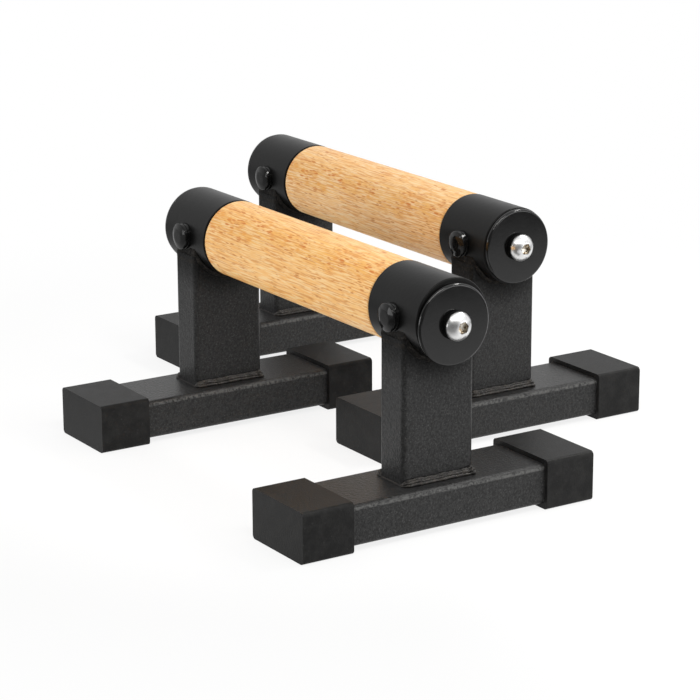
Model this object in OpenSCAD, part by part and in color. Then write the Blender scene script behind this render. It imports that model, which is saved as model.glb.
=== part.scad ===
// A staggered pair of low parallettes. Each bar is a wooden grip held between two steel collars,
// each collar welded on an upright, and each upright on a foot with rubber end caps.
// Millimetres. The grips run along X and the feet along Y, and the floor is Z = 0.
// On each bar, left is -X and right is +X; the front bar and each foot's front cap are towards -Y.

/* [Grip] */
// Free length of the grip between its collars
grip_len = 193; // [150:1:300]
// Height of the grip's axis above the floor
grip_height = 128; // [110:1:400]
// How far the grip's surface lies under the collars' surface
grip_step = 0.2; // [0:0.1:1]
// Radius on the grip's two shoulders
shoulder_r = 1.2; // [0.4:0.1:2]
// Gap between each shoulder and its collar
shoulder_gap = 0.8; // [0.3:0.1:2]
// Clearance round the grip's tenon in the collar's bore
tenon_fit = 0.1; // [0.05:0.05:0.5]
// How far the tenon stops short of the collar's outer end
tenon_inset = 0.5; // [0.2:0.1:2]

/* [Collars] */
// Outer diameter of the collars
collar_d = 50; // [46:0.5:60]
// Wall of the collars
collar_wall = 2.5; // [1.5:0.1:4]
// Length of each collar
collar_len = 50; // [44:1:70]
// Radius on the collars' outer edges
collar_edge = 0.8; // [0.2:0.1:1.4]

/* [Uprights and feet] */
// Width of the uprights, along the foot
upright_w = 50; // [40:1:52]
// Thickness of the uprights, along the grip
upright_t = 25; // [20:1:32]
// How far below the grip's axis the uprights' side walls stop
side_drop = 12; // [8:0.5:16]
// Width of the foot tubes
foot_w = 50; // [42:1:70]
// Height of the foot tubes
foot_h = 25; // [20:1:40]
// Length of the foot tubes without their caps
foot_len = 200; // [150:1:320]
// Wall of the uprights and foot tubes
tube_wall = 2; // [1:0.1:2.4]
// Outer corner radius of the uprights and foot tubes
tube_corner = 3; // [2.5:0.1:5]

/* [Welds] */
// Gap between an upright and the collar that it is coped to
root_gap = 0.1; // [0:0.05:0.4]
// Leg of the weld beads at an upright's base, along its two faces across the grip
foot_bead = 3.6; // [2:0.1:5]
// Leg of the thin bead round the rest of the base
thin_bead = 1.2; // [0.6:0.1:2]
// Leg of the arc-shaped weld beads under each collar
collar_bead = 3; // [2:0.1:4]
// Radius of the straight bead that joins a side wall to the collar
side_bead = 2.8; // [1.5:0.1:3.2]
// How far that bead stands out from the side wall
side_proud = 0.4; // [0.2:0.1:1.2]
// Least gap between that bead and the side screw's cap
weld_gap = 0.3; // [0.1:0.1:1]

/* [Rubber caps] */
// Length of each cap
cap_len = 34.5; // [20:0.5:60]
// Rubber beside the tube
cap_side = 2.7; // [1.5:0.1:5]
// Rubber above and below the tube
cap_sole = 3.1; // [1.5:0.1:6]
// Rubber over the tube's end
cap_end = 3.3; // [1.5:0.1:6]
// Radius on the caps' long edges
cap_corner = 2.5; // [1:0.1:5]
// Radius on the caps' edges at both ends
cap_edge = 1.2; // [0.3:0.1:2.5]
// Clearance between a cap and its tube
cap_fit = 0.05; // [0:0.05:0.3]

/* [End covers] */
// How far the cover's rim lies inside the collar's
cover_inset = 0.6; // [0:0.1:3]
// Thickness of each end cover
cover_t = 3; // [2.8:0.1:6]
// Radius on the cover's edges
cover_edge = 1; // [0.3:0.1:1.1]
// Thickness of the smaller step behind the cover
relief_t = 0.6; // [0.2:0.1:0.8]
// How far that step lies inside the cover's rim
relief_inset = 1.6; // [1:0.1:3]
// Clearance round the end screw in the cover
cover_fit = 0.5; // [0.1:0.1:1]
// How far the front bar's right cover, its screw and its insert sit below the grip's axis
cover_drop = 2.4; // [0:0.1:3]

/* [End screws] */
// Thread diameter of the end screws
screw_d = 10; // [8:1:12]
// Diameter of their button heads
head_d = 17.5; // [16:0.5:22]
// Height of their button heads
head_h = 5.5; // [4.5:0.1:7]
// Height of the heads' upright rim
head_rim = 0.8; // [0.4:0.1:1.2]
// Diameter of the flat on top of the heads
head_flat_d = 10.4; // [10:0.1:12]
// Width across flats of their sockets
socket_af = 8; // [5:0.5:8]
// Depth of their sockets
socket_depth = 3.2; // [2:0.1:3.6]
// Diameter of the washer under each head
washer_d = 17.5; // [15:0.5:24]
// Thickness of that washer
washer_t = 3; // [1.4:0.1:5]
// Radius on the washer's edges
washer_edge = 0.5; // [0.1:0.1:0.6]
// Clearance round the end screw in the washer
washer_fit = 0.3; // [0.1:0.1:0.5]
// Diameter of the threaded insert in each end of the grip
insert_d = 14; // [13:0.5:18]
// Length of the insert
insert_len = 20; // [12:0.5:20]
// How far the end screw stops short of the insert's inner end
tip_inset = 1; // [0:0.5:4]
// Clearance round the screws and the insert
screw_fit = 0.1; // [0.05:0.05:0.3]

/* [Side screws] */
// Thread diameter of the side screws
side_screw_d = 6; // [4:0.5:7]
// How far a side screw reaches in from the collar's surface
side_screw_len = 25; // [12:0.5:30]
// Diameter of its head, under the cap
side_head_d = 11; // [9:0.5:13]
// Height of its head
side_head_h = 3.2; // [2:0.1:3.6]
// Diameter of the cap over the head
side_cap_d = 17; // [15:0.5:20]
// How far the cap stands out from the collar
side_cap_h = 5.3; // [4.6:0.1:9]
// Radius on the cap's edge
side_cap_edge = 1.4; // [0.4:0.1:1.8]
// Clearance between the cap and the collar
side_cap_fit = 0.05; // [0:0.05:0.2]

/* [Place of the two bars] */
// How far the rear bar stands to the left of the front bar
stagger_x = 126; // [110:1:140]
// How far the rear bar stands behind the front bar
stagger_y = 138; // [70:1:500]

/* [Hidden] */
$fn = 64;
// How far a cut, or a shape that joins another, runs past the face where it starts
overrun = 1;
// The tubes' inner corners stay at least this round
least_corner = 0.1;
collar_r = collar_d / 2;
bore_r = collar_r - collar_wall;
grip_r = collar_r - grip_step;
tenon_r = bore_r - tenon_fit;
collar_in = grip_len / 2;
collar_out = collar_in + collar_len;
tenon_out = collar_out - tenon_inset;
foot_x = collar_in + collar_len / 2;
foot_top = cap_sole + foot_h;
bead_drop = side_cap_d / 2 + weld_gap + side_bead;
weld_drop = max(side_drop, bead_drop, sqrt(max(0, pow(collar_r, 2) - pow(upright_w / 2, 2))));
side_top = grip_height - weld_drop;
bead_y = upright_w / 2 + side_proud - side_bead;
cover_r = collar_r - cover_inset;
cover_face = collar_out + cover_t;
head_seat = cover_face + washer_t;
screw_r = screw_d / 2;
insert_in = tenon_out - insert_len;
side_screw_r = side_screw_d / 2;
side_hole_r = side_screw_r + screw_fit;

powder_coat = [0.22, 0.22, 0.225];
rubber = [0.19, 0.19, 0.195];
beech = [0.91, 0.74, 0.5];
stainless = [0.78, 0.78, 0.78];
black_gloss = [0.1, 0.1, 0.105];
zinc = [0.7, 0.68, 0.6];

BARS = [["front_bar", 1], ["rear_bar", -1]];
ENDS = [["left", -1], ["right", 1]];
END_PIECES = ["collar", "upright", "foot_tube", "foot_front_cap", "foot_rear_cap",
    "end_cover", "end_washer", "end_screw", "end_insert", "side_screw", "side_screw_cap",
    "collar_weld", "foot_weld"];

// Only the front bar's right cover sits low
function drop_at(bar, side) = bar > 0 && side > 0 ? cover_drop : 0;

module place_bar(bar) translate([bar * stagger_x / 2, -bar * stagger_y / 2, 0]) children();

// The pieces of an end are drawn for the right end and mirrored for the left one
module place_end(bar, side) place_bar(bar) mirror([side < 0 ? 1 : 0, 0, 0]) children();

// Turns a shape that stands on Z = 0 to lie along X, on the grip's axis less a drop
module on_axis(x, drop = 0) translate([x, 0, grip_height - drop]) rotate([0, 90, 0]) children();

// Turns a shape that stands on Z = 0 to point towards -Y, in the middle of the collar
module at_side(y) translate([foot_x, -y, grip_height]) rotate([90, 0, 0]) children();

// A rectangle with four round corners, about the origin
module rounded(w, h, r) {
    square([w - 2 * r, h], center = true);
    square([w, h - 2 * r], center = true);
    for (x = [-1, 1], y = [-1, 1])
        translate([x * (w / 2 - r), y * (h / 2 - r)]) circle(r = r);
}

// A rectangle from the origin whose two corners at x = w are round
module slab(w, h, r) {
    square([w - r, h]);
    translate([0, r]) square([w, h - 2 * r]);
    for (y = [r, h - r])
        translate([w - r, y]) circle(r = r);
}

// A turned ring with both outer edges round
module ring(inner_r, outer_r, len, edge)
    rotate_extrude() translate([inner_r, 0]) slab(outer_r - inner_r, len, edge);

// A turned disc with both edges round
module disc(r, len, edge) rotate_extrude() slab(r, len, edge);

// The quarter disc that fills the corner between two faces
module bead_profile(leg) intersection() {
    circle(r = leg);
    square(leg);
}

module tube_section(w, h) difference() {
    rounded(w, h, tube_corner);
    rounded(w - 2 * tube_wall, h - 2 * tube_wall, max(tube_corner - tube_wall, least_corner));
}

module collar() color(powder_coat) difference() {
    on_axis(collar_in) ring(bore_r, collar_r, collar_len, collar_edge);
    at_side(0) cylinder(r = side_hole_r, h = collar_d);
}

module grip(bar) color(beech) difference() {
    union() {
        on_axis(-tenon_out) cylinder(r = tenon_r, h = 2 * tenon_out);
        on_axis(shoulder_gap - collar_in) disc(grip_r, 2 * (collar_in - shoulder_gap), shoulder_r);
    }
    for (side = [-1, 1]) mirror([side < 0 ? 1 : 0, 0, 0]) {
        on_axis(insert_in, drop_at(bar, side))
            cylinder(d = insert_d + 2 * screw_fit, h = insert_len + overrun);
        at_side(collar_r - side_screw_len - screw_fit) cylinder(r = side_hole_r, h = collar_d);
    }
}

module upright() color(powder_coat) difference() {
    translate([foot_x, 0, foot_top]) linear_extrude(side_top - foot_top)
        tube_section(upright_t, upright_w);
    on_axis(collar_in) cylinder(r = collar_r + root_gap, h = collar_len);
}

module foot_tube() color(powder_coat)
    translate([foot_x, foot_len / 2, cap_sole + foot_h / 2]) rotate([90, 0, 0])
        linear_extrude(foot_len) tube_section(foot_w, foot_h);

// The cap of a foot's front end; its mouth faces +Y
module front_cap() {
    w = foot_w + 2 * cap_side;
    h = foot_h + 2 * cap_sole;
    color(rubber)
    translate([foot_x, -foot_len / 2 - cap_end, h / 2]) difference() {
        intersection() {
            rotate([-90, 0, 0]) linear_extrude(cap_len) rounded(w, h, cap_corner);
            translate([0, cap_len / 2, 0]) {
                linear_extrude(h, center = true) rounded(w, cap_len, cap_edge);
                rotate([90, 0, 90]) linear_extrude(w, center = true) rounded(cap_len, h, cap_edge);
            }
        }
        translate([0, cap_end, 0]) rotate([-90, 0, 0]) linear_extrude(cap_len)
            rounded(foot_w + 2 * cap_fit, foot_h + 2 * cap_fit, tube_corner + cap_fit);
    }
}

module rear_cap() mirror([0, 1, 0]) front_cap();

module end_cover(drop) color(powder_coat) on_axis(collar_out, drop) difference() {
    union() {
        cylinder(r = cover_r - relief_inset, h = relief_t + cover_edge);
        translate([0, 0, relief_t]) disc(cover_r, cover_t - relief_t, cover_edge);
    }
    cylinder(r = screw_r + cover_fit, h = cover_t);
}

module end_washer(drop) color(black_gloss)
    on_axis(cover_face, drop) ring(screw_r + washer_fit, washer_d / 2, washer_t, washer_edge);

// The head is a slice of a ball that is head_d wide above its rim and head_flat_d wide on top
module button_head() {
    rim_r = head_d / 2;
    flat_r = head_flat_d / 2;
    squares = pow(flat_r, 2) + pow(head_h, 2) - pow(rim_r, 2) - pow(head_rim, 2);
    centre = squares / 2 / (head_h - head_rim);
    ball_r = sqrt(pow(rim_r, 2) + pow(head_rim - centre, 2));
    difference() {
        intersection() {
            translate([0, 0, centre]) sphere(r = ball_r);
            cylinder(r = rim_r, h = head_h);
        }
        translate([0, 0, head_h - socket_depth])
            cylinder(d = socket_af / cos(30), h = socket_depth + overrun, $fn = 6);
    }
}

module end_screw(drop) color(stainless) {
    on_axis(head_seat, drop) button_head();
    on_axis(insert_in + tip_inset, drop)
        cylinder(r = screw_r - screw_fit, h = head_seat + overrun - insert_in - tip_inset);
}

module end_insert(drop) color(zinc) on_axis(insert_in, drop) difference() {
    cylinder(d = insert_d, h = insert_len);
    cylinder(r = screw_r, h = insert_len);
}

module side_screw() color(zinc) {
    at_side(collar_r) cylinder(d = side_head_d, h = side_head_h);
    at_side(collar_r - side_screw_len) cylinder(r = side_screw_r, h = side_screw_len + overrun);
}

// The cap's underside follows the collar's curve, and it is hollow over the screw's head
module side_screw_cap() color(black_gloss) difference() {
    at_side(collar_r - side_cap_h) disc(side_cap_d / 2, 2 * side_cap_h, side_cap_edge);
    on_axis(collar_in) cylinder(r = collar_r + side_cap_fit, h = collar_len);
    at_side(0) cylinder(d = side_head_d + 2 * screw_fit, h = collar_r + side_head_h + screw_fit);
}

// Two arcs along the cope's faces, and a straight bead with domed ends over each side wall
module collar_weld() {
    arc = acos(weld_drop / collar_r);
    color(powder_coat) difference() {
        union() {
            for (s = [0, 1])
                translate([foot_x, 0, 0]) mirror([s, 0, 0]) on_axis(upright_t / 2)
                    rotate([0, 0, -arc]) rotate_extrude(angle = 2 * arc)
                        translate([collar_r, 0]) bead_profile(collar_bead);
            for (y = [-bead_y, bead_y]) translate([foot_x, y, side_top]) {
                rotate([0, 90, 0]) cylinder(r = side_bead, h = upright_t, center = true);
                for (x = [-1, 1])
                    translate([x * upright_t / 2, 0, 0]) sphere(r = side_bead);
            }
        }
        on_axis(collar_in) cylinder(r = collar_r, h = collar_len);
        translate([foot_x, 0, foot_top]) linear_extrude(side_top - foot_top)
            rounded(upright_t, upright_w, tube_corner);
    }
}

// A thick bead with domed ends along each X face of the upright's base, and a thin bead along the
// Y faces and round the corners
module foot_weld() {
    x = upright_t / 2 - tube_corner;
    y = upright_w / 2 - tube_corner;
    color(powder_coat) translate([foot_x, 0, foot_top]) difference() {
        for (turn = [0, 180]) rotate([0, 0, turn]) {
            translate([upright_t / 2, y, 0]) rotate([90, 0, 0])
                linear_extrude(2 * y) bead_profile(foot_bead);
            translate([-x, upright_w / 2, 0]) rotate([90, 0, 90])
                linear_extrude(2 * x) bead_profile(thin_bead);
            for (s = [0, 1]) mirror([0, s, 0]) translate([x, y, 0]) {
                translate([tube_corner, 0, 0]) rotate_extrude() bead_profile(foot_bead);
                rotate_extrude(angle = 90) translate([tube_corner, 0]) bead_profile(thin_bead);
            }
        }
        linear_extrude(2 * foot_bead + overrun, center = true)
            rounded(upright_t, upright_w, tube_corner);
    }
}

for (bar = BARS) {
    place_bar(bar[1]) grip(bar[1]);
    for (end = ENDS) place_end(bar[1], end[1]) {
        name = str(bar[0], "_", end[0], "_");
        drop = drop_at(bar[1], end[1]);
        collar();
        upright();
        foot_tube();
        front_cap();
        rear_cap();
        end_cover(drop);
        end_washer(drop);
        end_screw(drop);
        end_insert(drop);
        side_screw();
        side_screw_cap();
        collar_weld();
        foot_weld();
    }
}
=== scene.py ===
"""The looks of a staggered pair of low parallettes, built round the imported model.

Metres, in the model's own frame: the grips run along X, the feet along Y, and the floor is Z = 0.
On each bar, left is -X and right is +X, and the front bar stands towards -Y. Shapes and patterns
are worked out in millimetres, and scaled by MM where they meet Blender.
"""

from math import cos, pi, radians, sin, sqrt

import bpy
import numpy as np
from mathutils import Matrix, Vector


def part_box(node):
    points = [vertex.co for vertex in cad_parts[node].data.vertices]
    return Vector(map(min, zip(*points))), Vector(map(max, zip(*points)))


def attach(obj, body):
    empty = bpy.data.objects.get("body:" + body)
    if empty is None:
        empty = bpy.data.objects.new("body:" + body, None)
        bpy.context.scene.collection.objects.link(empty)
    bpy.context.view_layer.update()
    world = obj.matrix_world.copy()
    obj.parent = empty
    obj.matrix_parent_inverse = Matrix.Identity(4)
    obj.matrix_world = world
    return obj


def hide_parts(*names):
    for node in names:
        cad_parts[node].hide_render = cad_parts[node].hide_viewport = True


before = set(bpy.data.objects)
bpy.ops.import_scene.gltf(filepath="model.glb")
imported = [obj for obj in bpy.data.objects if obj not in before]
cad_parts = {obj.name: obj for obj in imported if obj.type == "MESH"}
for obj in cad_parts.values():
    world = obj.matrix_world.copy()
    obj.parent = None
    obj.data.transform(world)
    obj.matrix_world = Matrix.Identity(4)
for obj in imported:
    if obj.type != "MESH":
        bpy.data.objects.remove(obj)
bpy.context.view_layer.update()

MM = 0.001
BARS = ("front_bar", "rear_bar")
ENDS = {"left": -1, "right": 1}


def span(bar, piece):
    """The lowest and highest corners of a bar's CAD node, in millimetres."""
    low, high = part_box(f"{bar}_{piece}")
    return np.array(low) / MM, np.array(high) / MM


# The camera, as the photograph was taken

LENS_MM = 132.288
SENSOR_MM = 36
CAMERA_AT = Vector((1372.643, -888.783, 513.557)) * MM
LOOKS_AT = Vector((28.857, -22.1, 60)) * MM
ROLL_DEG = -0.158


def place_camera():
    """Points a camera from CAMERA_AT at LOOKS_AT, rolled about its own axis."""
    back = (CAMERA_AT - LOOKS_AT).normalized()
    right = Vector((0, 0, 1)).cross(back).normalized()
    up = back.cross(right)
    turn = radians(ROLL_DEG)
    axes = (right * cos(turn) + up * sin(turn), up * cos(turn) - right * sin(turn), back)
    data = bpy.data.cameras.new("camera")
    data.lens = LENS_MM
    data.sensor_width = SENSOR_MM
    data.clip_start = 0.05
    data.clip_end = 50
    camera = bpy.data.objects.new("camera", data)
    camera.matrix_world = Matrix.Translation(CAMERA_AT) @ Matrix(axes).transposed().to_4x4()
    bpy.context.scene.collection.objects.link(camera)
    bpy.context.scene.camera = camera


# Shader maths: a value wraps a socket, and arithmetic on it adds Math nodes


class Value:
    """One output socket of a node tree, with the arithmetic that the finishes use."""

    def __init__(self, shade, socket):
        self.shade = shade
        self.socket = socket

    def maths(self, operation, *terms):
        return self.shade.node("Math", {"operation": operation}, list(terms))

    def __add__(self, other):
        return self.maths("ADD", self, other)

    def __sub__(self, other):
        return self.maths("SUBTRACT", self, other)

    def __rsub__(self, other):
        return self.maths("SUBTRACT", other, self)

    def __mul__(self, other):
        return self.maths("MULTIPLY", self, other)

    __radd__ = __add__
    __rmul__ = __mul__

    def largest(self, other):
        return self.maths("MAXIMUM", self, other)

    def smallest(self, other):
        return self.maths("MINIMUM", self, other)

    def ramp(self, low, high):
        """0 below low and 1 above high, with a smooth step between; low may be above high."""
        return self.shade.node("MapRange", {"interpolation_type": "SMOOTHSTEP"},
                               {"Value": self, "From Min": low, "From Max": high})


class Shade:
    """A node tree under construction, with patterns on Object coordinates in millimetres."""

    def __init__(self, owner):
        owner.use_nodes = True
        self.owner = owner
        self.tree = owner.node_tree
        self.tree.nodes.clear()

    def node(self, kind, settings=None, sockets=None, out=0):
        """Makes a node: its settings first, then its sockets' values or links, by name or place."""
        made = self.tree.nodes.new("ShaderNode" + kind)
        for key, setting in (settings or {}).items():
            setattr(made, key, setting)
        pairs = sockets.items() if isinstance(sockets, dict) else enumerate(sockets or [])
        for key, filled in pairs:
            if isinstance(filled, Value):
                self.tree.links.new(filled.socket, made.inputs[key])
            else:
                made.inputs[key].default_value = filled
        return Value(self, made.outputs[out] if made.outputs else None)

    def place(self, centre=(0, 0, 0), turn=(0, 0, 0), stretch=(1, 1, 1)):
        """Object coordinates in millimetres about a centre, turned, then divided by stretch."""
        at = self.node("TexCoord", out="Object")
        moved = self.node("VectorMath", {"operation": "SUBTRACT"}, [at, Vector(centre) * MM])
        turned = self.node("VectorRotate", {"rotation_type": "EULER_XYZ"},
                           {"Vector": moved, "Rotation": turn})
        size = [1 / (MM * s) for s in stretch]
        return self.node("VectorMath", {"operation": "MULTIPLY"}, [turned, size])

    def noise(self, at, scale=1.0, detail=2.0, rough=0.5):
        """Noise from 0 to 1 about one half; its features are 1 / scale in size."""
        return self.node("TexNoise", None, {
            "Vector": at, "Scale": scale, "Detail": detail, "Roughness": rough})

    def mix(self, factor, low, high, blend="MIX"):
        """A colour from low to high as factor goes from 0 to 1."""
        low, high = (c if isinstance(c, Value) else (*c, 1) for c in (low, high))
        return self.node("Mix", {"data_type": "RGBA", "blend_type": blend},
                         {0: factor, 6: low, 7: high}, 2)

    def bump(self, height, depth_mm):
        """A normal from a height from 0 to 1 that stands for depth_mm."""
        return self.node("Bump", None, {
            "Strength": 1.0, "Distance": depth_mm * MM, "Height": height})

    def surface(self, colour, roughness, normal, **constants):
        """A Principled surface; constants are its other sockets, with spaces as underscores."""
        return self.node("BsdfPrincipled", None, {
            "Base Color": colour, "Roughness": roughness, "Normal": normal,
            **{key.replace("_", " "): value for key, value in constants.items()}})

    def finish(self, *surface, **constants):
        """The material, made of one Principled surface."""
        self.node("OutputMaterial", None, {"Surface": self.surface(*surface, **constants)})
        return self.owner


def material(name):
    return Shade(bpy.data.materials.new(name))


# Finishes


# Painted shade under the collars: where it starts from a grip's axis, where it is fullest, and its
# largest share.
DULL_AWAY_MM, DULL_NEAR_MM, SHADE_SHARE = 46, 26, 0.9


def coated(s, colour, roughness, normal, specular):
    """A black coat, darker and barely reflective towards the grips' axes as painted shade: from
    DULL_AWAY_MM, and most at DULL_NEAR_MM.
    """
    front, rear = (s.node("VectorMath", {"operation": "LENGTH"},
                          [s.place(sum(span(bar, "grip")) / 2, stretch=(1e6, 1, 1))], "Value")
                   for bar in BARS)
    # Painted shade: the coat is darkened where the collars' shadow falls on the uprights and welds.
    painted_shade = front.smallest(rear).ramp(DULL_AWAY_MM, DULL_NEAR_MM) * SHADE_SHARE
    coat = s.surface(colour, roughness, normal, Specular_IOR_Level=specular)
    painted_shade_coat = s.surface(s.mix(0.6, colour, (0, 0, 0)), 0.6, normal, Specular_IOR_Level=0.06)
    s.node("OutputMaterial", None, {"Surface": s.node("MixShader", None, [painted_shade, coat, painted_shade_coat])})
    return s.owner


# Heights of the painted highlight along the feet's upper edges.
EDGE_FOOT_MM, EDGE_HEAD_MM = (24.6, 25.6), (27.5, 26.4)


def frame_coat():
    """Fine-textured black powder coat: pinhead bumps, a mottle and paler specks.

    On the feet's upper edges, between heights EDGE_FOOT_MM and EDGE_HEAD_MM, it has a painted
    highlight: a grainy, paler grey band.
    """
    s = material("frame_coat")
    grain = s.noise(s.place(), 0.5, 3.0, 0.7)
    mottle = s.noise(s.place(centre=(9, 70, 30)), 0.6, 3.0, 0.7)
    speck = s.noise(s.place(centre=(40, 10, 5)), 1.1, 2.0, 0.6).ramp(0.56, 0.7)
    tone = s.mix(mottle.ramp(0.36, 0.64), (0.009, 0.009, 0.009), (0.024, 0.024, 0.024))
    colour = s.mix(speck, tone, (0.046, 0.046, 0.046))
    # Painted highlight: a grainy, paler band along the feet's upper edges.
    height = s.node("SeparateXYZ", None, [s.place()], "Z")
    edge = height.ramp(*EDGE_FOOT_MM) * height.ramp(*EDGE_HEAD_MM) * grain.ramp(0.36, 0.6)
    colour = s.mix(edge, colour, (0.088, 0.088, 0.086))
    return coated(s, colour, 0.39, s.bump(grain, 0.45), 0.24)


def weld_coat():
    """The same coat run smooth over a weld, glossier on its ripples."""
    s = material("weld_coat")
    ripple = s.noise(s.place(), 0.3, 2.0, 0.5)
    grain = s.noise(s.place(), 0.7, 3.0, 0.7)
    colour = s.mix(ripple.ramp(0.35, 0.7), (0.008, 0.0075, 0.007), (0.028, 0.024, 0.02))
    colour = s.mix(grain.ramp(0.5, 0.66) * 0.8, colour, (0.07, 0.063, 0.056))
    normal = s.bump(ripple * 0.5 + grain * 0.5, 0.5)
    return coated(s, colour, ripple.ramp(0.3, 0.7) * 0.1 + 0.32, normal, 0.26)


def collar_coat():
    """Smooth satin black coat with a faint orange peel."""
    s = material("collar_coat")
    peel = s.noise(s.place(), 0.45, 2.0, 0.5)
    patch = s.noise(s.place(), 0.06, 3.0, 0.6)
    colour = s.mix(patch.ramp(0.3, 0.7), (0.003, 0.003, 0.003), (0.005, 0.005, 0.0049))
    roughness = patch.ramp(0.25, 0.75) * 0.05 + 0.34
    return s.finish(colour, roughness, s.bump(peel, 0.05), Specular_IOR_Level=0.14)


def cover_coat():
    """The collars' coat, a little glossier."""
    s = material("cover_coat")
    peel = s.noise(s.place(), 0.45, 2.0, 0.5)
    patch = s.noise(s.place(), 0.08, 3.0, 0.6)
    colour = s.mix(patch.ramp(0.3, 0.7), (0.002, 0.002, 0.002), (0.004, 0.004, 0.004))
    roughness = patch.ramp(0.25, 0.75) * 0.04 + 0.1
    return s.finish(colour, roughness, s.bump(peel, 0.02), Specular_IOR_Level=0.46)


def moulded_rubber():
    """Satin black rubber with a faint bloom and a few pale specks of dust."""
    s = material("moulded_rubber")
    bloom = s.noise(s.place(), 0.12, 4.0, 0.65)
    grain = s.noise(s.place(), 0.9, 2.0, 0.6)
    dust = s.noise(s.place(centre=(20, 5, 60)), 0.8, 2.0, 0.6).ramp(0.66, 0.74) * 0.5
    colour = s.mix(bloom.ramp(0.35, 0.7), (0.010, 0.010, 0.010), (0.018, 0.0178, 0.0175))
    colour = s.mix(dust, colour, (0.05, 0.05, 0.05))
    roughness = bloom.ramp(0.3, 0.7) * 0.06 + 0.44
    return s.finish(colour, roughness, s.bump(grain, 0.15), Specular_IOR_Level=0.12)


def washer_black():
    """Plain black moulded plastic."""
    s = material("washer_black")
    grain = s.noise(s.place(), 1.2, 2.0, 0.5)
    colour = s.mix(grain.ramp(0.3, 0.7), (0.002, 0.002, 0.002), (0.004, 0.004, 0.004))
    return s.finish(colour, 0.5, s.bump(grain, 0.02), Specular_IOR_Level=0.15)


def gloss_black():
    """Glossy black plastic with fine handling marks."""
    s = material("gloss_black")
    haze = s.noise(s.place(), 0.5, 3.0, 0.6)
    colour = s.mix(haze.ramp(0.3, 0.7), (0.003, 0.003, 0.003), (0.006, 0.006, 0.006))
    roughness = haze.ramp(0.3, 0.7) * 0.05 + 0.06
    return s.finish(colour, roughness, s.bump(haze, 0.03), Specular_IOR_Level=0.22)


def stainless():
    """Brushed and polished stainless steel with faint grey clouds."""
    s = material("stainless")
    cloud = s.noise(s.place(), 0.3, 3.0, 0.6)
    colour = s.mix(cloud.ramp(0.3, 0.7), (0.70, 0.70, 0.70), (0.84, 0.84, 0.84))
    roughness = cloud.ramp(0.3, 0.7) * 0.06 + 0.27
    return s.finish(colour, roughness, s.bump(cloud, 0.01), Metallic=1.0)


def socket_painted_shade():
    """The screws' sockets: the same steel, darkened in brown patches as painted shade and a painted
    reflection of the wood.
    """
    s = material("socket_painted_shade")
    shade_mottle = s.noise(s.place(), 0.5, 3.0, 0.6)
    # Painted shade with a painted brown reflection, in noisy patches.
    colour = s.mix(shade_mottle.ramp(0.38, 0.58), (0.22, 0.16, 0.1), (0.74, 0.7, 0.62))
    return s.finish(colour, 0.3, s.bump(shade_mottle, 0.1), Metallic=1.0)


def zinc_plate():
    """Dull zinc plating, for the screws and inserts inside."""
    s = material("zinc_plate")
    cloud = s.noise(s.place(), 0.8, 3.0, 0.6)
    colour = s.mix(cloud, (0.5, 0.47, 0.36), (0.66, 0.64, 0.55))
    return s.finish(colour, 0.38, s.bump(cloud, 0.03), Metallic=1.0)


RAY_FACE_DEG = {"front_bar": 42, "rear_bar": 25}
RAY_DEPTH_MM = 14
# Heights about the grip's axis over which the painted light goes from a brightened underside to a
# darkened top.
UNDER_MM, UPPER_MM = -18, 22
# How far in from each grip's end the wood is painted near-black as shade inside the collar.
END_SHADE_MM = 2


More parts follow.
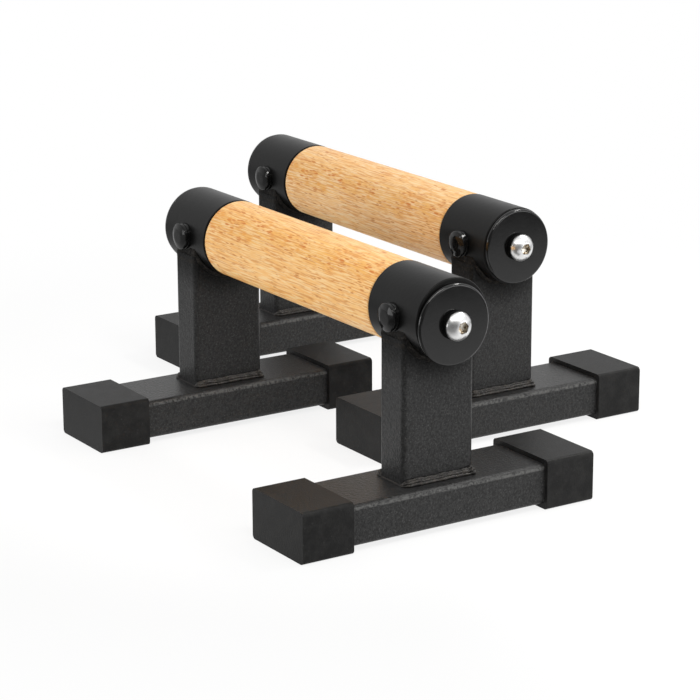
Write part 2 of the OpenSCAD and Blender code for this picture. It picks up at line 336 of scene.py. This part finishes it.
def beech(bar, tint):
    """Oiled beech, sawn flat: long grain, faint yearly rings, and the rays as short brown dashes.

    Local axes: X along the grain, Y across the rays and Z out of the face that shows their ends,
    so a ray is a dash on that face, and a wide pale fleck round the side of the grip.
    """
    s = material("beech_" + bar)
    low, high = span(bar, "grip")
    centre = (low + high) / 2
    turn = (radians(RAY_FACE_DEG[bar] - 90), 0, 0)

    def spread(*stretch):
        return s.place(centre, turn, stretch)

    def dashes(along, across, seed_mm, low_at, high_at, rarity=0.44):
        """Short marks, one to a Voronoi cell where a patchy noise lets it show."""
        shifted = s.place(centre + Vector((seed_mm, 0, 0)), turn,
                          (along, across, RAY_DEPTH_MM))
        cell = s.node("TexVoronoi", {"feature": "F1"}, {"Vector": shifted, "Scale": 1.0},
                      "Distance")
        chance = s.noise(spread(along * 1.6, across * 2.2, RAY_DEPTH_MM), 1.0, 2.0, 0.5)
        return cell.ramp(high_at, low_at) * chance.ramp(rarity, rarity + 0.1)

    def about(angle_deg, width_deg):
        """1 on a line along the grip at this angle from the face, fading to 0 at width_deg."""
        across = s.node("SeparateXYZ", None, [spread(1, 1, 1)], "Y")
        out = s.node("SeparateXYZ", None, [spread(1, 1, 1)], "Z")
        wobble = s.noise(spread(50, 20, 20), 1.0, 1.0, 0.5) * 0.9 - 0.45
        away = s.node("Math", {"operation": "ARCTAN2"}, [across, out]) - radians(angle_deg)
        away = s.node("Math", {"operation": "ABSOLUTE"}, [away + wobble])
        return away.ramp(radians(width_deg), 0)

    wander = s.noise(spread(60, 7, 10), 1.0, 2.0, 0.5)
    streak = s.noise(spread(30, 1.8, 4), 1.0, 2.0, 0.6)
    hair = s.noise(spread(22, 0.8, 3), 1.0, 1.5, 0.6)
    fibre = s.noise(spread(14, 0.6, 2), 1.0, 1.0, 0.6)
    year = s.noise(spread(160, 16, 3.2), 1.0, 1.5, 0.4)
    figure = about(4, 34)
    wood = s.mix(streak.ramp(0.32, 0.68) * 0.4 + wander.ramp(0.3, 0.7) * 0.5,
                 (0.95, 0.575, 0.225), (0.91, 0.47, 0.13))
    wood = s.mix(figure * 0.7, wood, (0.87, 0.44, 0.09))
    wood = s.mix(year.ramp(0.5, 0.66) * 0.3, wood, (0.82, 0.41, 0.12))
    wood = s.mix(hair.ramp(0.5, 0.58) * 0.8, wood, (0.74, 0.32, 0.08))
    wood = s.mix(fibre.ramp(0.5, 0.6) * 0.8, wood, (0.95, 0.665, 0.34))
    wood = s.mix(dashes(8, 1.2, 0, 0.2, 0.42, 0.5) * 0.85, wood, (0.58, 0.18, 0.015))
    wood = s.mix(dashes(12, 0.9, 37, 0.2, 0.42, 0.48) * 0.65, wood, (0.66, 0.24, 0.04))
    wood = s.mix(dashes(8, 2.0, 71, 0.22, 0.44, 0.43) * figure * 0.95, wood, (0.66, 0.19, 0.01))
    wood = s.mix(dashes(9, 5, 113, 0.12, 0.4, 0.44) * figure * 0.6, wood, (0.82, 0.32, 0.03))
    # Painted light and shade: the wood is brighter towards the underside and darker towards the
    # top.
    height = s.node("SeparateXYZ", None, [s.place(centre)], "Z")
    light = s.mix(height.ramp(UNDER_MM, UPPER_MM), (1.05, 1.06, 1.06), (0.85, 0.85, 0.81))
    wood = s.mix(1.0, wood, light, "MULTIPLY")
    wood = s.mix(1.0, wood, tint, "MULTIPLY")
    # Painted shade: near each end, deep in its collar, the grip is painted near-black.
    along_grain = s.node("SeparateXYZ", None, [spread(1, 1, 1)], "X")
    end_at = (high - low)[0] / 2 - END_SHADE_MM
    painted_end_shade = s.node("Math", {"operation": "ABSOLUTE"}, [along_grain]).ramp(end_at - 1, end_at)
    wood = s.mix(painted_end_shade, wood, (0.006, 0.006, 0.006))
    return s.finish(wood, 0.48, s.bump(hair * 0.6 + fibre * 0.4, 0.3), Specular_IOR_Level=0.4)


def dress(finish, *pieces):
    """Gives every node of both bars whose name ends with one of pieces this finish."""
    for name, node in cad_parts.items():
        if name.endswith(pieces):
            node.data.materials.clear()
            node.data.materials.append(finish)


# Surfaces: grids of points, closed round their columns, and closed at their ends or into a ring


def grid_faces(rows, columns, ring):
    """The four corners of each face between neighbours of a grid whose columns wrap round."""
    row, column = np.meshgrid(np.arange(rows if ring else rows - 1), np.arange(columns),
                              indexing="ij")
    below, beside = (row + 1) % rows, (column + 1) % columns
    corners = (row * columns + column, row * columns + beside,
               below * columns + beside, below * columns + column)
    return np.stack(corners, -1).reshape(-1, 4)


def end_faces(rows, columns):
    """Triangles that close the first and last rows, each about one more point after the grid's."""
    here = np.arange(columns)
    beside = (here + 1) % columns
    last = (rows - 1) * columns
    first_fan = np.stack([beside, here, np.full(columns, rows * columns)], 1)
    last_fan = np.stack([here + last, beside + last, np.full(columns, rows * columns + 1)], 1)
    return np.concatenate([first_fan, last_fan])


def volume(points, faces):
    """Six times the volume inside faces, each split into triangles from its first corner."""
    first = points[faces[:, 0]]
    return sum(np.einsum("ij,ij->", first, np.cross(points[faces[:, k]], points[faces[:, k + 1]]))
               for k in range(1, faces.shape[1] - 1))


def skin(name, bar, grids, finish, replaced, ring=False, sharp_deg=38):
    """One object from closed grids of points (rows, columns, 3), in millimetres.

    A ring's rows wrap round as well. Other grids end in a fan about the middle of each end row.
    Faces that enclose a negative volume are turned over.
    """
    points, faces, count = [], [], 0
    for grid in grids:
        rows, columns = grid.shape[:2]
        own = grid.reshape(-1, 3)
        parts = [grid_faces(rows, columns, ring)]
        if not ring:
            own = np.concatenate([own, grid[[0, -1]].mean(1)])
            parts.append(end_faces(rows, columns))
        if sum(volume(own, part) for part in parts) < 0:
            parts = [part[:, ::-1] for part in parts]
        faces += [row for part in parts for row in (part + count).tolist()]
        points.append(own)
        count += len(own)
    mesh = bpy.data.meshes.new(name)
    mesh.from_pydata((np.concatenate(points) * MM).tolist(), [], faces)
    mesh.polygons.foreach_set("use_smooth", np.ones(len(faces), bool))
    mesh.set_sharp_from_angle(angle=radians(sharp_deg))
    mesh.materials.append(finish)
    made = bpy.data.objects.new(name, mesh)
    bpy.context.scene.collection.objects.link(made)
    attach(made, bar)
    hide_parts(*replaced)
    return made


def turned(rows, columns):
    """Rings (radius, height) about local Z; a radius may be one number or one per column."""
    angles = np.linspace(0, 2 * pi, columns, endpoint=False)
    radius = np.stack([np.broadcast_to(r, columns) for r, _ in rows])
    height = np.stack([np.broadcast_to(h, columns) for _, h in rows])
    return np.stack([radius * np.cos(angles), radius * np.sin(angles), height], -1)


def aimed(grid, origin, axes):
    """A local grid carried to origin, with its X, Y and Z along the three axes given."""
    return np.asarray(origin, float) + grid @ np.asarray(axes, float)


def bend(radius, middle, start_deg, end_deg, steps):
    """Profile rows round an arc of a circle about middle = (radius, height), from +radius up."""
    turns = np.radians(np.linspace(start_deg, end_deg, steps))
    return [(middle[0] + radius * cos(t), middle[1] + radius * sin(t)) for t in turns]


ROUND_COLUMNS = 144
HEAD_R, HEAD_RIM, HEAD_H, HEAD_FLAT_R = 8.75, 0.8, 5.5, 4.0
SHANK_R, SHANK_BEVEL = 4.9, 0.8
SOCKET_R, SOCKET_DEPTH, SOCKET_BEVEL = 3.1, 3.0, 0.3
SOCKET_TURN_DEG = {"front_bar": 12, "rear_bar": -4}


def end_screw(bar, end, finish, socket):
    """A button-head screw: its shank, an upright rim, a slice of a ball, and a bevelled hexagon.

    The hexagon's radius at angle a is its half-width / cos(a), a taken within 30 degrees of a flat.
    """
    low, high = span(bar, end + "_end_screw")
    side = ENDS[end]
    middle = (low + high) / 2
    length = high[0] - low[0]
    origin = (high[0] - HEAD_H if side > 0 else low[0] + HEAD_H, middle[1], middle[2])
    angles = np.linspace(0, 2 * pi, ROUND_COLUMNS, endpoint=False)
    turn = radians(SOCKET_TURN_DEG[bar] + 30)
    hexagon = SOCKET_R / np.cos((angles - turn + pi / 6) % (pi / 3) - pi / 6)
    ball_at = (HEAD_FLAT_R ** 2 + HEAD_H ** 2 - HEAD_R ** 2 - HEAD_RIM ** 2) / (
        2 * (HEAD_H - HEAD_RIM))
    ball_r = sqrt(HEAD_R ** 2 + (HEAD_RIM - ball_at) ** 2)
    radii = np.linspace(HEAD_R, HEAD_FLAT_R, 18)
    dome = [(r, ball_at + sqrt(ball_r ** 2 - r ** 2)) for r in radii]
    floor = HEAD_H - SOCKET_DEPTH
    tip = HEAD_H - length
    outside = [(SHANK_R - SHANK_BEVEL, tip), (SHANK_R, tip + SHANK_BEVEL), (SHANK_R, 0),
               (HEAD_R - 0.2, 0), (HEAD_R, 0.2), *dome, (hexagon * 1.05, HEAD_H),
               (hexagon, HEAD_H - SOCKET_BEVEL), (hexagon, HEAD_H - SOCKET_BEVEL - 0.15)]
    inside = [(hexagon, floor), (2.6, floor - 0.1), (0.5, floor - 0.8)]
    grid = turned(outside + inside, ROUND_COLUMNS)
    axes = [(0, side, 0), (0, 0, 1), (side, 0, 0)]
    made = skin(f"{bar}_{end}_end_screw_head", bar, [aimed(grid, origin, axes)], finish,
                [f"{bar}_{end}_end_screw"])
    made.data.materials.append(socket)
    # The socket's walls and floor take the second finish, a painted shade.
    slots = np.zeros(len(made.data.polygons), np.int32)
    socket_from = (len(outside) - 1) * ROUND_COLUMNS
    slots[socket_from:socket_from + len(inside) * ROUND_COLUMNS] = 1
    slots[-ROUND_COLUMNS:] = 1
    made.data.polygons.foreach_set("material_index", slots)


COVER_STEP, RIM_R, BACK_RIM_R = 0.6, 1.7, 0.4
COVER_RELIEF_R, COVER_BORE_R = 22.8, 5.5


def end_cover(bar, end, finish):
    """A disc with a broad round rim in front, a small one behind, and a step at its back."""
    low, high = span(bar, end + "_end_cover")
    side = ENDS[end]
    middle = (low + high) / 2
    origin = (low[0] if side > 0 else high[0], middle[1], middle[2])
    thick = high[0] - low[0]
    r = (high[2] - low[2]) / 2
    back = bend(BACK_RIM_R, (r - BACK_RIM_R, COVER_STEP + BACK_RIM_R), -90, 0, 6)
    front = bend(RIM_R, (r - RIM_R, thick - RIM_R), 0, 90, 14)
    rows = [(COVER_BORE_R, thick / 2), (COVER_BORE_R, 0), (COVER_RELIEF_R, 0),
            (COVER_RELIEF_R, COVER_STEP), *back, *front, (COVER_BORE_R, thick)]
    axes = [(0, side, 0), (0, 0, 1), (side, 0, 0)]
    grid = aimed(turned(rows, ROUND_COLUMNS), origin, axes)
    skin(f"{bar}_{end}_cover_disc", bar, [grid], finish,
         [f"{bar}_{end}_end_cover"], ring=True)


CAP_COLUMNS = 96
CAP_HOLLOW_R, CAP_FLAT_R, CAP_SHOULDER = 5.6, 4.2, 0.45
CAP_EDGE_R, CAP_EDGE_DROP, CAP_EDGE_DEG = 0.7, 1.8, 69
CAP_FALL, CAP_GROOVE = 1.15, 0.35


def side_cap(bar, end, finish):
    """A button whose foot follows the collar's curve, with a groove round its wall.

    Its foot stands at sqrt(R^2 - z^2) from the collar's axis, R being the collar's radius. Its face
    falls by CAP_FALL t^1.3 from a flat middle, t being the share of the way to the rounded edge.
    """
    low, high = span(bar, end + "_side_screw_cap")
    collar_low, collar_high = span(bar, end + "_collar")
    middle = (low + high) / 2
    origin = (middle[0], (collar_low[1] + collar_high[1]) / 2, middle[2])
    seat_r = (collar_high[1] - collar_low[1]) / 2 + 0.05
    r = (high[0] - low[0]) / 2
    top = origin[1] - low[1]
    angles = np.linspace(0, 2 * pi, CAP_COLUMNS, endpoint=False)

    def foot(radius):
        return np.sqrt(seat_r ** 2 - (radius * np.sin(angles)) ** 2)

    shoulder_r = r - CAP_SHOULDER
    slope = shoulder_r - CAP_FLAT_R
    edge = bend(CAP_EDGE_R, (r - CAP_EDGE_R, top - CAP_EDGE_DROP), 0, CAP_EDGE_DEG, 10)
    face = np.linspace(shoulder_r - 0.15, CAP_FLAT_R, 20)
    rows = [(CAP_HOLLOW_R, top - 1.9), (CAP_HOLLOW_R, foot(CAP_HOLLOW_R)),
            (r, foot(r)), (r, top - 4.0),
            (r - CAP_GROOVE, top - 3.8), (r - CAP_GROOVE, top - 3.4), (r, top - 3.2), *edge,
            *[(x, top - CAP_FALL * ((x - CAP_FLAT_R) / slope) ** 1.3) for x in face],
            (2, top), (0.5, top)]
    grid = turned(rows, CAP_COLUMNS)
    axes = [(1, 0, 0), (0, 0, 1), (0, -1, 0)]
    skin(f"{bar}_{end}_side_button", bar, [aimed(grid, origin, axes)], finish,
         [f"{bar}_{end}_side_screw_cap"])


def ridges(across, ridge_count, depth):
    """The share of a bead's leg at each part of its section: rounded ridges between grooves."""
    return 1 - depth + depth * np.abs(np.sin(ridge_count * pi * across)) ** 0.7


def bead(root, outward, upward, leg, along, seed, ridge_count=3, depth=0.17):
    """A weld bead in the corner between two faces, swept along root, (n, 3).

    Its section is a quarter disc of radius leg, (n,), cut by ridges. These wander and swell as
    sums of sines of along, the distance in millimetres.
    """
    turns = np.linspace(0, 1, 25)
    phase = np.random.default_rng(seed).uniform(0, 2 * pi, 5)
    sway = 0.035 * np.sin(along / 4.1 + phase[0]) + 0.02 * np.sin(along / 1.7 + phase[1])
    swell = 1 + 0.04 * np.sin(along / 2.9 + phase[2]) + 0.03 * np.sin(along / 1.3 + phase[3])
    across = turns[None, :] + sway[:, None] * np.sin(pi * turns)[None, :]
    reach = (leg * swell)[:, None] * ridges(across, ridge_count, depth)
    angles = turns * pi / 2
    arc = (outward[:, None, :] * (reach * np.cos(angles))[..., None]
           + upward[:, None, :] * (reach * np.sin(angles))[..., None])
    return np.concatenate([root[:, None, :] + arc, root[:, None, :]], 1)


FOOT_BEAD, THIN_BEAD, COLLAR_BEAD = 4.1, 0.6, 2.9
BLOB_RISE, BLOB_WIDTH = 0.9, 1.3
CORNER_R = 3.0
CAP_CLEAR_R = 8.85
FILL_DEPTH, FILL_BELOW_AXIS = 5, 7.0
FILL_BEAD, FILL_GROOVE = 0.15, 0.12


def base_path(half_x, half_y, step):
    """Points and outward normals round a rectangle with corners of CORNER_R, about the origin.

    The normal turns at each corner and stands still on the sides between.
    """
    quarter = np.linspace(0, pi / 2, 9)
    flat_x, flat_y = half_x - CORNER_R, half_y - CORNER_R
    points, normals = [], []
    for k, (mx, my) in enumerate([(flat_x, flat_y), (-flat_x, flat_y), (-flat_x, -flat_y),
                                  (flat_x, -flat_y)]):
        turn = quarter + k * pi / 2
        normal = np.stack([np.cos(turn), np.sin(turn)], 1)
        corner = np.array([mx, my]) + CORNER_R * normal
        length = 2 * (flat_x if k % 2 == 0 else flat_y)
        count = int(length / step)
        share = np.linspace(0, 1, count, endpoint=False)[1:, None]
        ahead = np.array([-sin(turn[-1]), cos(turn[-1])])
        points += [corner, corner[-1] + share * length * ahead]
        normals += [normal, np.repeat(normal[-1:], count - 1, 0)]
    return np.concatenate(points), np.concatenate(normals)


def foot_weld(bar, end, finish, seed):
    """A bead round the upright's base, thick along the X faces and thin along the Y faces.

    Its leg goes from thin to thick with the normal's share along X, and a blob swells its rear
    end as a bell curve.
    """
    low, high = span(bar, end + "_upright")
    half = (high - low) / 2
    middle = (high + low) / 2
    flat, normal = base_path(half[0], half[1], 0.4)
    root = np.column_stack([flat + middle[:2], np.full(len(flat), low[2])])
    outward = np.column_stack([normal, np.zeros(len(flat))])
    upward = np.broadcast_to([0.0, 0.0, 1.0], root.shape)
    steps = np.linalg.norm(np.diff(flat, axis=0, append=flat[:1]), axis=1)
    along = np.concatenate([[0], np.cumsum(steps)[:-1]])
    leg = THIN_BEAD + (FOOT_BEAD - THIN_BEAD) * np.abs(normal[:, 0]) ** 1.5
    past = (flat[:, 1] - (half[1] - CORNER_R)) / BLOB_WIDTH
    blob = np.exp(-past ** 2) * np.abs(normal[:, 0])
    grid = bead(root, outward, upward, leg + BLOB_RISE * blob, along, seed)
    skin(f"{bar}_{end}_base_bead", bar, [grid], finish,
         [f"{bar}_{end}_foot_weld"], ring=True, sharp_deg=60)


def collar_weld(bar, end, finish, seed):
    """Two arc beads under the collar, and a fill over each side wall.

    An arc's leg fades at both ends as sqrt(1 - t^12). A fill leans out from the upright's outline
    to the collar's circle as the power 1.6 of its height, less so round the upright's corners. It
    has a shallow bead and a groove at its foot, and stops short of the side cap.
    """
    low, high = span(bar, end + "_upright")
    collar_low, collar_high = span(bar, end + "_collar")
    half = (high - low) / 2
    x_mid, y_mid = (low + high)[:2] / 2
    axis_z = (collar_low[2] + collar_high[2]) / 2
    collar_r = (collar_high[1] - collar_low[1]) / 2
    side_top = high[2]
    arc = np.arccos((axis_z - side_top) / collar_r) * 1.05
    share = np.linspace(-1, 1, 121)
    angles = share * arc
    grids = []
    for side in (-1, 1):
        radial = np.column_stack([np.zeros(len(angles)), np.sin(angles), -np.cos(angles)])
        root = np.array([x_mid + side * half[0], y_mid, axis_z]) + collar_r * radial
        outward = np.broadcast_to([float(side), 0.0, 0.0], root.shape)
        leg = COLLAR_BEAD * np.sqrt(1.0001 - share ** 12)
        grids.append(bead(root, outward, radial, leg, angles * collar_r, seed + side, 2, 0.12))
    across = np.linspace(-1, 1, 41) * (half[0] - 0.05)
    past = np.maximum(np.abs(across) - (half[0] - CORNER_R), 0)
    outline = half[1] - CORNER_R + np.sqrt(CORNER_R ** 2 - past ** 2)
    phase = np.random.default_rng(seed).uniform(0, 2 * pi, 2)
    wave = 0.3 * np.sin(across / 1.7 + phase[0]) + 0.2 * np.sin(across / 0.7 + phase[1])
    rise = np.linspace(0, 1, 33)
    for side in (-1, 1):
        foot = side_top - FILL_DEPTH + 0.5 * wave
        top = np.full(len(across), axis_z - FILL_BELOW_AXIS)
        if side < 0:
            top = np.minimum(top, axis_z - np.sqrt(np.maximum(CAP_CLEAR_R ** 2 - across ** 2, 0)))
        height = (top - foot)[:, None] * rise
        z = foot[:, None] + height
        circle = np.sqrt(collar_r ** 2 - (axis_z - z) ** 2)
        meets = ((circle[:, -1] - 0.03 - outline) * (1 - (past / CORNER_R) ** 2))[:, None]
        bead_rise = FILL_BEAD * np.sin(pi * np.clip(height / 4.4, 0, 1)) ** 2
        groove = FILL_GROOVE * np.exp(-((height - 4.5) / 0.6) ** 2)
        outer = outline[:, None] + meets * rise ** 1.6 + bead_rise - groove * (1 - rise)
        inner = np.minimum(outer, np.where(z < side_top, outline[:, None], circle)) - 0.3
        xs = np.broadcast_to((x_mid + across)[:, None], z.shape)
        front = np.stack([xs, y_mid + side * outer, z], -1)
        back = np.stack([xs, y_mid + side * inner, z], -1)[:, ::-1]
        grids.append(np.concatenate([front, back], 1))
    skin(f"{bar}_{end}_collar_bead", bar, grids, finish,
         [f"{bar}_{end}_collar_weld"], sharp_deg=60)


# The studio

FLOOR_R = 6.0
SHADOW_SHARE = 0.17
SHADOW_END_MM = 620
SKY = 0.8
FRONT_LOSS = 0.8
FRONT = (0.54, -0.84, 0.0)
RIGHT = (0.84, 0.54, 0.0)
LEFT = (-0.84, -0.54, 0.0)
FRONT_CONE, FRONT_FAR_MM = (0.68, 0.88), (200, 380)
RIGHT_FAR_MM, LEFT_FAR_MM, LEFT_SHARE = (400, 1000), (120, 400), 0.5
LIT_AT = Vector((0, 0, 0.08))


def flat_disc(name, radius, z):
    """A round floor: one ring of points about the origin, filled by a single face."""
    sides = 96
    turns = np.linspace(0, 2 * pi, sides, endpoint=False)
    points = np.stack([radius * np.cos(turns), radius * np.sin(turns), np.full(sides, z)], 1)
    mesh = bpy.data.meshes.new(name)
    mesh.from_pydata(points.tolist(), [], [list(range(sides))])
    made = bpy.data.objects.new(name, mesh)
    bpy.context.scene.collection.objects.link(made)
    return made


def light_path(s):
    """1 for camera, glossy and glass rays, which see the white backdrop; and 1 for glossy rays."""
    camera, glossy, glass = (s.node("LightPath", out=f"Is {kind} Ray")
                             for kind in ("Camera", "Glossy", "Transmission"))
    return camera.largest(glossy).largest(glass), glossy


def towards(s, at, aim):
    """How far a vector reaches along a unit vector."""
    return s.node("VectorMath", {"operation": "DOT_PRODUCT"}, [at, aim], "Value")


def studio_floor():
    """A white floor that keeps a share of the object's shadow near the object.

    It darkens in front, where the studio's dark side begins, far off to the right, and a little to
    the left. Only light and glossy rays meet that.
    """
    floor = flat_disc("floor", FLOOR_R, 0)
    s = material("floor_paper")
    at = s.place()
    away = s.node("VectorMath", {"operation": "LENGTH"}, [at], "Value")
    ahead = towards(s, s.node("VectorMath", {"operation": "NORMALIZE"}, [at]), FRONT)
    in_front = ahead.ramp(*FRONT_CONE) * away.ramp(*FRONT_FAR_MM)
    on_right = towards(s, at, RIGHT).ramp(*RIGHT_FAR_MM)
    on_left = towards(s, at, LEFT).ramp(*LEFT_FAR_MM) * LEFT_SHARE
    dim = in_front.largest(on_right).largest(on_left)
    seen, glossy = light_path(s)
    paper = s.node("BsdfDiffuse", None, {"Color": s.mix(dim, (0.95,) * 3, (0.6,) * 3)})
    white = s.node("Emission", None, {
        "Color": s.mix(dim * glossy, (1,) * 3, (0.2,) * 3), "Strength": 1.0})
    shadow = away.ramp(SHADOW_END_MM, 250) * SHADOW_SHARE
    s.node("OutputMaterial", None, {
        "Surface": s.node("MixShader", None, [seen * (1 - shadow), paper, white])})
    floor.data.materials.append(s.owner)


def studio_world():
    """Soft light from all round but the dark side at the front, and a white backdrop."""
    world = bpy.data.worlds.new("studio")
    bpy.context.scene.world = world
    s = Shade(world)
    dark = towards(s, s.node("TexCoord", out="Generated"), FRONT).ramp(0.2, 0.85) * FRONT_LOSS
    seen, glossy = light_path(s)
    strength = (1 - dark * 0.5) * SKY * (1 - seen) + (1 - dark * glossy) * seen
    back = s.node("Background", None, {"Color": (1, 1, 1, 1), "Strength": strength})
    s.node("OutputWorld", None, {"Surface": back})


def softbox(name, at, size, radiance, colour=(1, 1, 1)):
    """A soft light that faces the object; its power is pi x its area x its radiance."""
    data = bpy.data.lights.new(name, "AREA")
    data.shape = "RECTANGLE"
    data.size, data.size_y = size
    data.energy = radiance * pi * size[0] * size[1]
    data.color = colour
    lamp = bpy.data.objects.new(name, data)
    lamp.location = at
    facing = LIT_AT - Vector(at)
    lamp.rotation_euler = facing.to_track_quat("-Z", "Y").to_euler()
    bpy.context.scene.collection.objects.link(lamp)


def light_studio():
    softbox("long_strip", (0.69, -0.3, 1.0), (1.1, 0.065), 26, (1, 0.98, 0.95))
    softbox("rear_strip", (0.25, 0.62, 1.0), (0.5, 0.1), 30, (1, 0.985, 0.96))
    softbox("left_box", (-0.35, -1.6, 0.3), (0.9, 0.5), 3.5)
    softbox("right_box", (1.6, 1.0, 0.4), (0.9, 0.6), 2.8)
    studio_world()
    studio_floor()


# Dressing

place_camera()
# The sockets' finish is a painted shade.
steel, socket_shade, button = stainless(), socket_painted_shade(), gloss_black()
enamel, weld = cover_coat(), weld_coat()
dress(frame_coat(), "upright", "foot_tube")
dress(weld, "weld")
dress(collar_coat(), "collar")
dress(enamel, "end_cover")
dress(moulded_rubber(), "foot_front_cap", "foot_rear_cap")
dress(washer_black(), "end_washer")
dress(button, "side_screw_cap")
dress(steel, "end_screw")
dress(zinc_plate(), "end_insert", "side_screw")
dress(beech("front_bar", (1, 1, 1)), "front_bar_grip")
dress(beech("rear_bar", (0.98, 1.02, 1.18)), "rear_bar_grip")
for number, (bar, end) in enumerate((bar, end) for bar in BARS for end in ENDS):
    end_screw(bar, end, steel, socket_shade)
    end_cover(bar, end, enamel)
    side_cap(bar, end, button)
    foot_weld(bar, end, weld, 10 * number + 5)
    collar_weld(bar, end, weld, 10 * number + 8)
light_studio()

bpy.context.scene.view_settings.view_transform = "Standard"
